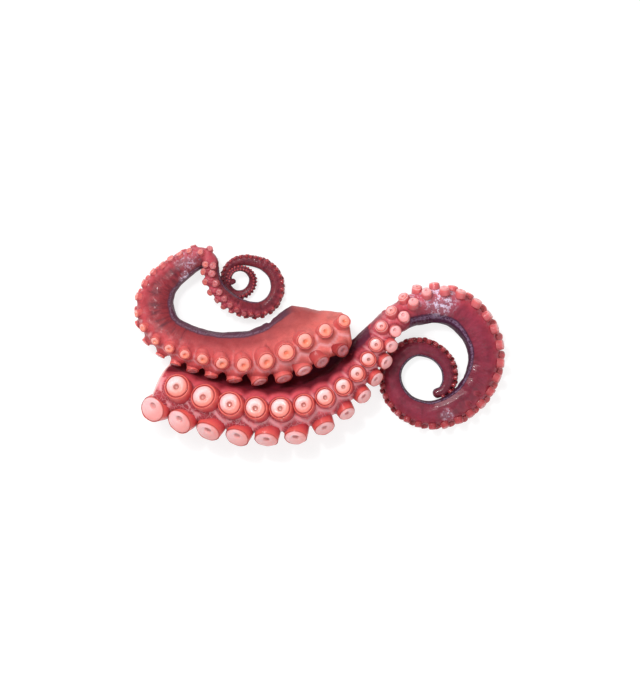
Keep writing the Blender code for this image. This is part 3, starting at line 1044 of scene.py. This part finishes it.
class Graph:
    """The node tree of one material round its Principled shader."""

    def __init__(self, name: str) -> None:
        """Makes the material, and the piece's own coordinates in millimetres.

        Args:
            name: the material's name.
        """
        self.material = bpy.data.materials.new(name)
        self.material.use_nodes = True
        self.tree = self.material.node_tree
        self.shader = self.tree.nodes["Principled BSDF"]
        place = self.node("ShaderNodeTexCoord").outputs["Object"]
        self.mm = self.vector("SCALE", {0: place, "Scale": 1.0 / MM}).outputs[0]

    def feed(self, socket: bpy.types.NodeSocket, value: object) -> None:
        """Links a wire or a socket to an input, or sets a plain value on it.

        Args:
            socket: the input.
            value: a wire, an output socket, a number, a vector or a linear colour.
        """
        if isinstance(value, Wire):
            value = value.socket
        if isinstance(value, bpy.types.NodeSocket):
            self.tree.links.new(value, socket)
        else:
            socket.default_value = value

    def dress(self, values: dict[str, object]) -> None:
        """Feeds the shader's own inputs, each by its name."""
        for name, value in values.items():
            self.feed(self.shader.inputs[name], value)

    def node(self, kind: str, settings: dict | None = None, values: dict | None = None) -> bpy.types.Node:
        """One node, its settings made first.

        Args:
            kind: the node's type.
            settings: its own properties by name.
            values: the values or links of its inputs, by name or place.

        Returns:
            The node.
        """
        made = self.tree.nodes.new(kind)
        for key, value in (settings or {}).items():
            setattr(made, key, value)
        for key, value in (values or {}).items():
            self.feed(made.inputs[key], value)
        return made

    def wire(self, kind: str, settings: dict | None = None, values: dict | None = None) -> Wire:
        """A node's first output as a wire."""
        return Wire(self, self.node(kind, settings, values).outputs[0])

    def vector(self, operation: str, values: dict) -> bpy.types.Node:
        """A Vector Math node with this operation and inputs."""
        return self.node("ShaderNodeVectorMath", {"operation": operation}, values)

    def mark(self, name: str) -> Wire:
        """A number of the piece's vertices, by its name."""
        return Wire(self, self.node("ShaderNodeAttribute", {"attribute_name": name}).outputs["Fac"])

    def noise(self, scale: float, detail: float = 3.0, roughness: float = 0.55,
              place: bpy.types.NodeSocket | None = None) -> Wire:
        """Noise from 0 to 1 with scale in waves a millimetre, on the piece's own coordinates."""
        values = {"Vector": place or self.mm, "Scale": scale, "Detail": detail, "Roughness": roughness}
        return self.wire("ShaderNodeTexNoise", None, values)

    def streaks(self, along: Wire, back: Wire) -> Wire:
        """Noise drawn out round the arm: fine steps along the arm and coarse ones round it."""
        steps = {"X": along * STREAKS_ALONG, "Y": back * STREAKS_ROUND}
        return self.noise(1.0, 3.0, 0.6, self.node("ShaderNodeCombineXYZ", None, steps).outputs[0])

    def creases(self, scale: float, width: float) -> Wire:
        """The edges of an uneven cell pattern.

        Args:
            scale: cells a millimetre.
            width: how far an edge reaches into its cell, in cells.

        Returns:
            One on an edge, fading to zero at the width.
        """
        warp = self.node("ShaderNodeTexNoise", None, {"Vector": self.mm, "Scale": WARP_SCALE})
        place = self.vector("ADD", {0: self.mm, 1: warp.outputs["Color"]}).outputs[0]
        values = {"Vector": place, "Scale": scale}
        cells = self.wire("ShaderNodeTexVoronoi", {"feature": "DISTANCE_TO_EDGE"}, values)
        return 1.0 - cells.step(0.0, width)

    def spot(self, place: tuple[float, float], radius: float) -> Wire:
        """A round spot at a place on the table, seen from above.

        Args:
            place: the x and y of its middle in millimetres.
            radius: where it ends, in millimetres.

        Returns:
            One over the spot's core, fading to zero at the radius.
        """
        flat = self.vector("MULTIPLY", {0: self.mm, 1: (1.0, 1.0, 0.0)})
        apart = self.vector("DISTANCE", {0: flat.outputs[0], 1: (*place, 0.0)})
        return 1.0 - Wire(self, apart.outputs["Value"]).step(SPOT_CORE * radius, radius)

    def ramp(self, factor: Wire, stops: Stops) -> bpy.types.NodeSocket:
        """A colour that follows a number.

        Args:
            factor: the number.
            stops: the number at each stop, and the colour seen there.

        Returns:
            The colour.
        """
        made = self.node("ShaderNodeValToRGB", None, {"Fac": factor})
        elements = made.color_ramp.elements
        while len(elements) < len(stops):
            elements.new(1.0)
        for element, (place, *seen) in zip(elements, stops):
            element.position = place
            element.color = colour(*seen)
        return made.outputs["Color"]

    def mix(self, share: Wire, base: bpy.types.NodeSocket, over: Tint | bpy.types.NodeSocket,
            blend: str = "MIX") -> bpy.types.NodeSocket:
        """The base colour turning into another as the share grows.

        Args:
            share: how much of the second colour shows, 0 to 1.
            base: the first colour.
            over: the second, as a socket or as seen.
            blend: how the second is laid over the first.

        Returns:
            The mixed colour.
        """
        over = colour(*over) if isinstance(over, tuple) else over
        settings = {"data_type": "RGBA", "blend_type": blend}
        values = {MIX_SHARE: share, MIX_BASE: base, MIX_OVER: over}
        return self.node("ShaderNodeMix", settings, values).outputs[MIX_RESULT]

    def paint(self, base: bpy.types.NodeSocket, layers: tuple) -> bpy.types.NodeSocket:
        """The base with layers mixed over it in turn, each a share, a colour and perhaps a blend."""
        for share, *over in layers:
            base = self.mix(share, base, *over)
        return base

    def bump(self, height: Wire, distance: float) -> None:
        """Relief of this height, the distance in millimetres, on the shader's normal."""
        values = {"Height": height, "Distance": distance * MM, "Strength": BUMP_STRENGTH}
        self.dress({"Normal": self.node("ShaderNodeBump", None, values).outputs["Normal"]})

    def flesh(self, depth: float) -> None:
        """Light that spreads a little way through wet flesh.

        Args:
            depth: how far it spreads in millimetres.
        """
        self.dress({
            "Subsurface Weight": 0.22,
            "Subsurface Radius": (1.0, 0.32, 0.25),
            "Subsurface Scale": depth * MM,
            "Specular IOR Level": 0.18,
            "Coat Roughness": 0.10,
            "Coat IOR": 1.35,
        })


@dataclass(frozen=True)
class SkinFinish:
    """Colours of an arm's skin, those that change as (place along the arm, colour) stops.

    flank is the side of the arm, and shade is painted shade, partly the skin's own darker
    colour, on the side turned to the arm beside it. tissue is the skin between and round the
    suckers, and band the dark strip on the edge away from the suckers, which starts at
    band_start along the arm and is band_width half depths wide; on the lower arm near its base,
    where the strip lies in the wall turned to the upper arm, its dark wine is partly painted
    shade. line is a pale line of painted sheen in that strip, from line_start on, and cut the
    cut end. inner is what the flank turns to beside the strip, and foot_shade_share is how strong the
    painted shade is where a sucker's foot meets the skin. Each share is how strongly its mark
    shows, and wetness how thick the coat is.
    flecks are painted wet glints, each a place on the table, a radius in millimetres and a share.
    """

    name: str
    flank: Stops
    shade: Stops
    tissue: Stops
    band: Stops
    line: Tint
    inner: Tint
    inner_share: float
    cut: Tint
    band_width: float
    band_start: float
    line_start: float
    line_share: float
    foot_shade_share: float
    crease_share: float
    streak_share: float
    wetness: float
    flecks: tuple[tuple[tuple[float, float], float, float], ...]

    def strip(self, along: Wire, inset: Wire, slow: Wire, fine: Wire) -> tuple[Wire, Wire]:
        """The dark strip on the edge, narrower on the thin coil, and the pale line of painted sheen in it.

        Args:
            along: place along the arm, 0 to 1.
            inset: distance inside the edge in half depths.
            slow: soft noise that makes the strip uneven.
            fine: fine noise that breaks the line up.

        Returns:
            One in the strip, and one in the line.
        """
        width = self.band_width
        rim = (inset + (fine - 0.5) * 0.06 + (slow - 0.5) * 0.16) * (1.0 + along.step(0.52, 0.72))
        band = 1.0 - rim.step(width - 0.04, width + 0.06)
        band = band * along.step(self.band_start - 0.012, self.band_start + 0.012)
        # Painted sheen: a pale broken line along the strip
        line = rim.step(0.45 * width, 0.60 * width) * (1.0 - rim.step(0.75 * width, 0.95 * width))
        return band, line * along.step(self.line_start, self.line_start + 0.04) * fine.step(0.40, 0.56)

    def glints(self, graph: Graph) -> Wire:
        """The painted wet glints, each a spot of uneven flecks.

        Args:
            graph: the skin's graph.

        Returns:
            How strongly a glint shows, 0 to 1.
        """
        fleck = 0.14 + 0.86 * graph.noise(0.5, 4.0, 0.66).step(0.50, 0.57)
        spots = (graph.spot(place, radius) * fleck * share for place, radius, share in self.flecks)
        return reduce(Wire.larger, spots)

    def material(self) -> bpy.types.Material:
        """Boiled skin: mottled and wet, with fine grain, painted shade, and painted highlights on its seams
        and creases.

        Returns:
            The material.
        """
        graph = Graph(self.name)
        along, back, inset, near = (graph.mark(name) for name in ("along", "back", "inset", "near"))
        slow, fine = graph.noise(0.16, 3.0), graph.noise(1.1, 4.0, 0.62)
        speck = graph.noise(2.6, 3.0, 0.6).step(0.52, 0.70)
        streak = graph.streaks(along, back).step(0.42, 0.72) * along.step(0.20, 0.36) * self.streak_share
        # Painted shade, partly the skin's own darker colour, on the side turned to the other arm
        shade = (graph.mark("leftward") + (slow - 0.5) * 0.7).step(0.25, 0.75)
        shade = shade * (1.0 - along.step(0.30, 0.42))
        face = 1.0 - (back + (slow - 0.5) * 0.12).step(0.20, 0.42)
        crease = graph.creases(0.42, 0.045) * face * self.crease_share * (1.0 - along.step(0.36, 0.46))
        band, line = self.strip(along, inset, slow, fine)
        shine = self.glints(graph)
        base = graph.paint(graph.ramp(along, self.flank), (
            (shade, graph.ramp(along, self.shade)),
            (face.larger(near.step(0.1, 0.7) * 0.85), graph.ramp(along, self.tissue)),
            ((slow - 0.36).step(0.0, 0.42) * 0.35, MOTTLE, "MULTIPLY"),
            ((1.0 - inset.step(0.3, 1.4)) * self.inner_share, self.inner),
            (streak * (1.0 - face), STREAK),
            # Painted shade in the crease where a sucker's foot meets the skin
            (near.step(0.74, 0.98) * self.foot_shade_share, FOOT_SHADE),
            (speck * 0.26, SPECK),
            (fine.step(0.60, 0.82) * 0.10, BLOOM),
            # Painted highlight: pale glossy lines along the creases and the seams between suckers
            (crease.larger(graph.mark("seam") * 0.55), CREASE_HIGHLIGHT),
            (band, graph.ramp(along, self.band)),
            # Painted sheen along the dark strip
            (line * self.line_share, self.line),
            (graph.mark("cut"), self.cut),
            # Painted highlight: the wet glints
            (shine, GLINT),
        ))
        wet = (0.35 + 0.65 * slow.step(0.38, 0.62)) * (1.0 - band) * (1.0 - shade)
        graph.dress({
            "Base Color": base,
            "Roughness": 0.32 + 0.24 * fine + 0.35 * shade,
            "Coat Weight": self.wetness * wet,
        })
        grain = fine * 0.6 + graph.noise(4.5, 2.0) * 0.25 + slow * 0.4
        graph.bump(grain - streak * 0.5 + crease * 0.5 + shine * 0.4, 0.38)
        graph.flesh(1.6)
        return graph.material


@dataclass(frozen=True)
class SuckerFinish:
    """Colours of a sucker by zone, and how they change towards the arm's tip.

    zones runs from the pit to the foot. fringe is painted shade on the disc's side away from
    the light, pearl a painted highlight on its side towards the light, and dark is what the
    whole cup turns to between fade_from and fade_to along the arm. left_end tints the discs of
    the left row, whose first cups are darkened by painted shade, and right_disc those of the
    right row.
    """

    name: str
    zones: Stops
    shaded_side_tint: Tint
    lit_side_highlight: Tint
    dark: Tint
    fade_from: float
    fade_to: float
    fade: float
    shaded_side_share: float
    lit_side_highlight_share: float
    left_end: Tint
    left_share: float
    right_disc: Tint
    right_share: float

    def material(self) -> bpy.types.Material:
        """Wet sucker flesh, with a painted highlight and painted shade on each disc, redder further along.

        Returns:
            The material.
        """
        graph = Graph(self.name)
        zone, lit, own, along, row = (graph.mark(name) for name in ("zone", "lit", "own", "along", "row"))
        fine = graph.noise(1.3, 4.0, 0.6)
        disc = zone.step(0.10, 0.15) * (1.0 - zone.step(0.44, 0.50))
        # Painted highlight: pearl pales the disc on its side towards the light
        lit_side_highlight = (lit + 0.12 * own + (fine - 0.5) * 0.9).step(-0.1, 0.55)
        left, right = row.step(0.0, 0.5), 1.0 - row.step(-0.5, 0.0)
        far = along.step(0.34, 0.46)
        rim = zone.step(0.54, 0.62) * (1.0 - zone.step(0.66, 0.80)) * far
        # Painted shade: the left row's first cups, by the base, are darkened
        first = left * (1.0 - along.step(0.02, 0.08)) * self.left_share
        faded = along.step(self.fade_from, self.fade_to) * self.fade
        base = graph.paint(graph.ramp(zone + (fine - 0.5) * 0.035, self.zones), (
            # Painted shade: fringe tints the disc on its side away from the light
            (disc * (0.05 - lit).step(0.0, 0.62) * self.shaded_side_share, self.shaded_side_tint),
            (disc * lit_side_highlight * self.lit_side_highlight_share, self.lit_side_highlight),
            (left * (1.0 - zone.step(0.40, 0.50)) * fine.step(0.3, 0.6) * self.left_share, self.left_end),
            (own * 0.18, OWN_FLESH),
            (far * 0.45, FAR_FLESH),
            (rim * 0.65, FAR_RIM),
            (right * (1.0 - zone.step(0.46, 0.52)) * self.right_share, self.right_disc),
            # Darker further along the arm, and painted shade on the left row's first cups
            (faded.larger(first), self.dark, "MULTIPLY"),
            (fine.step(0.6, 0.85) * 0.15, FRECKLE),
        ))
        graph.dress({"Base Color": base, "Roughness": 0.34 + 0.2 * fine, "Coat Weight": 0.45 + 0.5 * fine})
        graph.bump(fine * 0.9 + graph.noise(5.0, 2.0) * 0.2, 0.28)
        graph.flesh(1.4)
        return graph.material


LOWER_SKIN_FINISH = SkinFinish(
    name="lower_boiled_skin",
    flank=((0.0, 168, 50, 56), (0.30, 160, 46, 54), (0.42, 154, 50, 68), (0.55, 158, 54, 76),
           (0.66, 130, 40, 60), (0.80, 142, 50, 70), (1.0, 120, 42, 60)),
    # Painted shade on the side turned to the upper arm, partly the skin's own darker colour
    shade=((0.0, 150, 30, 38), (0.15, 112, 16, 30), (0.28, 98, 14, 30), (0.40, 130, 38, 52)),
    tissue=((0.0, 238, 98, 108), (0.28, 234, 96, 108), (0.42, 204, 76, 90),
            (0.60, 170, 60, 78), (0.80, 146, 48, 66), (1.0, 112, 38, 54)),
    # Near the base, where the strip lies in the wall turned to the upper arm, its dark wine is partly
    # painted shade
    band=((0.0, 112, 26, 40), (0.36, 96, 36, 58), (0.50, 72, 30, 56),
          (0.75, 62, 26, 46), (1.0, 60, 26, 44)),
    line=(150, 120, 150),
    inner=(112, 30, 50),
    inner_share=0.45,
    cut=(244, 196, 192),
    band_width=0.55,
    band_start=-0.1,
    line_start=0.38,
    line_share=0.6,
    foot_shade_share=0.60,
    crease_share=0.5,
    streak_share=0.40,
    wetness=0.55,
    flecks=(((66.0, 26.5), 13.0, 0.85), ((52.0, 26.0), 8.0, 0.4),
            ((70.3, -38.3), 4.5, 0.6), ((91.0, -31.0), 4.0, 0.4)),
)
UPPER_SKIN_FINISH = SkinFinish(
    name="upper_boiled_skin",
    flank=((0.0, 216, 108, 100), (0.12, 206, 94, 92), (0.24, 190, 76, 78),
           (0.36, 154, 50, 58), (0.46, 138, 42, 54), (0.58, 136, 44, 58),
           (0.72, 122, 40, 54), (0.86, 112, 36, 50), (1.0, 98, 32, 46)),
    # Painted shade on the side turned to the lower arm, partly the skin's own darker colour
    shade=((0.0, 186, 72, 72), (0.30, 168, 58, 66)),
    tissue=((0.0, 228, 118, 110), (0.25, 220, 96, 98), (0.36, 190, 74, 82),
            (0.60, 184, 76, 90), (0.72, 136, 50, 62), (1.0, 100, 36, 50)),
    band=((0.0, 96, 52, 62), (0.18, 90, 54, 70), (0.35, 92, 50, 68),
          (0.50, 96, 48, 66), (0.62, 92, 50, 66), (1.0, 76, 42, 58)),
    line=(150, 118, 138),
    inner=(128, 48, 54),
    inner_share=0.62,
    cut=(214, 120, 110),
    band_width=0.34,
    band_start=0.082,
    line_start=0.09,
    line_share=0.5,
    foot_shade_share=0.42,
    crease_share=0.0,
    streak_share=0.8,
    wetness=0.22,
    flecks=(((-73.0, 47.5), 9.0, 0.36), ((-74.2, 39.0), 2.6, 0.9), ((-76.5, 36.5), 1.8, 0.7)),
)
LOWER_SUCKER_FINISH = SuckerFinish(
    name="lower_sucker_flesh",
    # The dark stop at 0.545 is painted shade in the crease round the disc, and the darkening towards the
    # foot is painted shade where the cup meets the skin
    zones=((0.0, 198, 142, 136), (0.07, 186, 118, 110), (0.115, 208, 134, 124),
           (0.16, 240, 184, 178), (0.33, 240, 172, 166), (0.43, 234, 144, 132),
           (0.50, 196, 74, 72), (0.545, 146, 38, 44), (0.59, 182, 60, 58),
           (0.64, 226, 110, 98), (0.71, 222, 94, 86), (0.80, 212, 78, 78),
           (0.90, 184, 52, 64), (1.0, 140, 36, 46)),
    shaded_side_tint=(242, 140, 126),
    lit_side_highlight=(254, 226, 230),
    dark=(176, 112, 126),
    fade_from=0.46,
    fade_to=0.84,
    fade=0.95,
    shaded_side_share=0.75,
    lit_side_highlight_share=0.6,
    left_end=(240, 180, 180),
    left_share=0.0,
    right_disc=(255, 186, 190),
    right_share=0.38,
)
UPPER_SUCKER_FINISH = SuckerFinish(
    name="upper_sucker_flesh",
    # The dark stop at 0.545 is painted shade in the crease round the disc
    zones=((0.0, 226, 104, 72), (0.07, 234, 118, 82), (0.12, 238, 132, 98),
           (0.20, 246, 150, 130), (0.34, 250, 158, 146), (0.44, 240, 134, 126),
           (0.50, 208, 94, 88), (0.545, 158, 50, 54), (0.60, 208, 94, 90),
           (0.66, 222, 112, 104), (0.80, 210, 92, 90), (1.0, 202, 84, 86)),
    shaded_side_tint=(242, 148, 112),
    lit_side_highlight=(250, 208, 200),
    dark=(176, 96, 110),
    fade_from=0.30,
    fade_to=0.74,
    fade=0.95,
    shaded_side_share=0.6,
    lit_side_highlight_share=0.55,
    left_end=(226, 192, 208),
    left_share=0.75,
    right_disc=(252, 150, 134),
    right_share=0.2,
)


@dataclass
class OctopusArm:
    """One boiled arm: its skin and its suckers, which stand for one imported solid."""

    name: ArmName
    stations: tuple[Station, ...]
    rows: RowPlan
    skin: SkinPlan
    cup: CupShape
    skin_finish: SkinFinish
    sucker_finish: SuckerFinish
    big_cup: float = 2.4
    big_grid: tuple[int, int] = (46, 40)
    small_grid: tuple[int, int] = (30, 20)

    def build(self) -> list[bpy.types.Object]:
        """Builds and dresses the arm's pieces.

        Returns:
            The skin, the large suckers and the small ones.
        """
        route = Route(self.stations)
        cups = place_cups(route, self.rows)
        skin = write_mesh(f"{self.name.value}_skin", ArmSkin(route, cups, self.skin, self.rows).surface())
        skin.data.materials.append(self.skin_finish.material())
        flesh = self.sucker_finish.material()
        pieces = [skin]
        big = cups.radius >= self.big_cup
        for part, chosen, grid in (("large", big, self.big_grid), ("small", ~big, self.small_grid)):
            mesh = SuckerMesh(cups.pick(chosen), self.cup, self.rows, route.length, *grid)
            piece = write_mesh(f"{self.name.value}_suckers_{part}", mesh.surface())
            piece.data.materials.append(flesh)
            pieces.append(piece)
        for piece in pieces:
            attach(piece, "root")
        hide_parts(self.name.value)
        return pieces


@dataclass(frozen=True)
class Lamp:
    """A soft square light that looks at the middle of the table, in metres and watts."""

    name: str
    place: tuple[float, float, float]
    size: float
    power: float

    def build(self) -> None:
        """Hangs the light and turns it to the middle of the table."""
        data = bpy.data.lights.new(self.name, "AREA")
        data.size = self.size
        data.energy = self.power
        holder = link(self.name, data)
        holder.location = self.place
        x, y, z = self.place
        holder.rotation_euler = (math.atan2(math.hypot(x, y), z), 0.0, math.atan2(x, -y))


@dataclass
class Studio:
    """A plain white table, soft light from the upper left, and the camera straight above.

    The frame's height is the photograph's height in pixels at the drawn scale, held at the
    height of the suckers that show. Table sizes are in metres, other lengths in millimetres.
    """

    height_px: int = 691
    scale: float = 0.55
    middle: tuple[float, float] = (0.145, -0.09)
    held_at: float = 12.0
    distance: float = 1800.0
    sensor: float = 36.0
    clip_end: float = 10.0
    table_half: float = 2.0
    table_drop: float = 0.0001
    table_grey: float = 0.30
    table_glow: float = 0.76
    air: float = 0.34
    lamps: tuple[Lamp, ...] = (
        Lamp("window", (-0.55, 0.65, 1.1), 0.8, 13.5),
        Lamp("sparkle", (-0.30, 0.42, 0.9), 0.06, 2.6),
        Lamp("fill", (0.5, -0.7, 0.9), 1.2, 5.5),
    )

    def camera(self) -> None:
        """The camera, looking straight down, its lens sized to the frame's height."""
        data = bpy.data.cameras.new("camera")
        data.sensor_width = self.sensor
        data.lens = self.sensor * self.distance / (self.height_px * self.scale)
        data.clip_end = self.clip_end
        holder = link("camera", data)
        holder.location = (self.middle[0] * MM, self.middle[1] * MM, (self.distance + self.held_at) * MM)
        bpy.context.scene.camera = holder

    def table(self) -> None:
        """A white table top just under the arms."""
        graph = Graph("white_table")
        graph.dress({
            "Base Color": (self.table_grey, self.table_grey, self.table_grey, 1.0),
            "Roughness": 0.8,
            "Specular IOR Level": 0.0,
            "Emission Color": (1.0, 1.0, 1.0, 1.0),
            "Emission Strength": self.table_glow,
        })
        mesh = bpy.data.meshes.new("table")
        half = self.table_half
        square = ((-half, -half), (half, -half), (half, half), (-half, half))
        corners = [(x, y, -self.table_drop) for x, y in square]
        mesh.from_pydata(corners, [], [(0, 1, 2, 3)])
        mesh.materials.append(graph.material)
        link("table", mesh)

    def build(self) -> None:
        """Sets up the table, the lights, the air's own light and the camera."""
        self.table()
        for lamp in self.lamps:
            lamp.build()
        world = bpy.data.worlds.new("air")
        world.use_nodes = True
        background = world.node_tree.nodes["Background"]
        background.inputs["Color"].default_value = (1.0, 1.0, 1.0, 1.0)
        background.inputs["Strength"].default_value = self.air
        bpy.context.scene.world = world
        bpy.context.scene.view_settings.view_transform = "Standard"
        self.camera()


def main() -> None:
    """Builds both arms and the studio, and reports each piece."""
    logging.basicConfig(level=logging.INFO, format="%(message)s")
    arms = (
        OctopusArm(ArmName.LOWER, LOWER_ROUTE, LOWER_ROWS, LOWER_SKIN, LOWER_CUP,
                   LOWER_SKIN_FINISH, LOWER_SUCKER_FINISH),
        OctopusArm(ArmName.UPPER, UPPER_ROUTE, UPPER_ROWS, UPPER_SKIN, UPPER_CUP,
                   UPPER_SKIN_FINISH, UPPER_SUCKER_FINISH),
    )
    for arm in arms:
        for piece in arm.build():
            LOG.info("%s: %d faces", piece.name, len(piece.data.polygons))
    Studio().build()


if __name__ == "__main__":
    main()
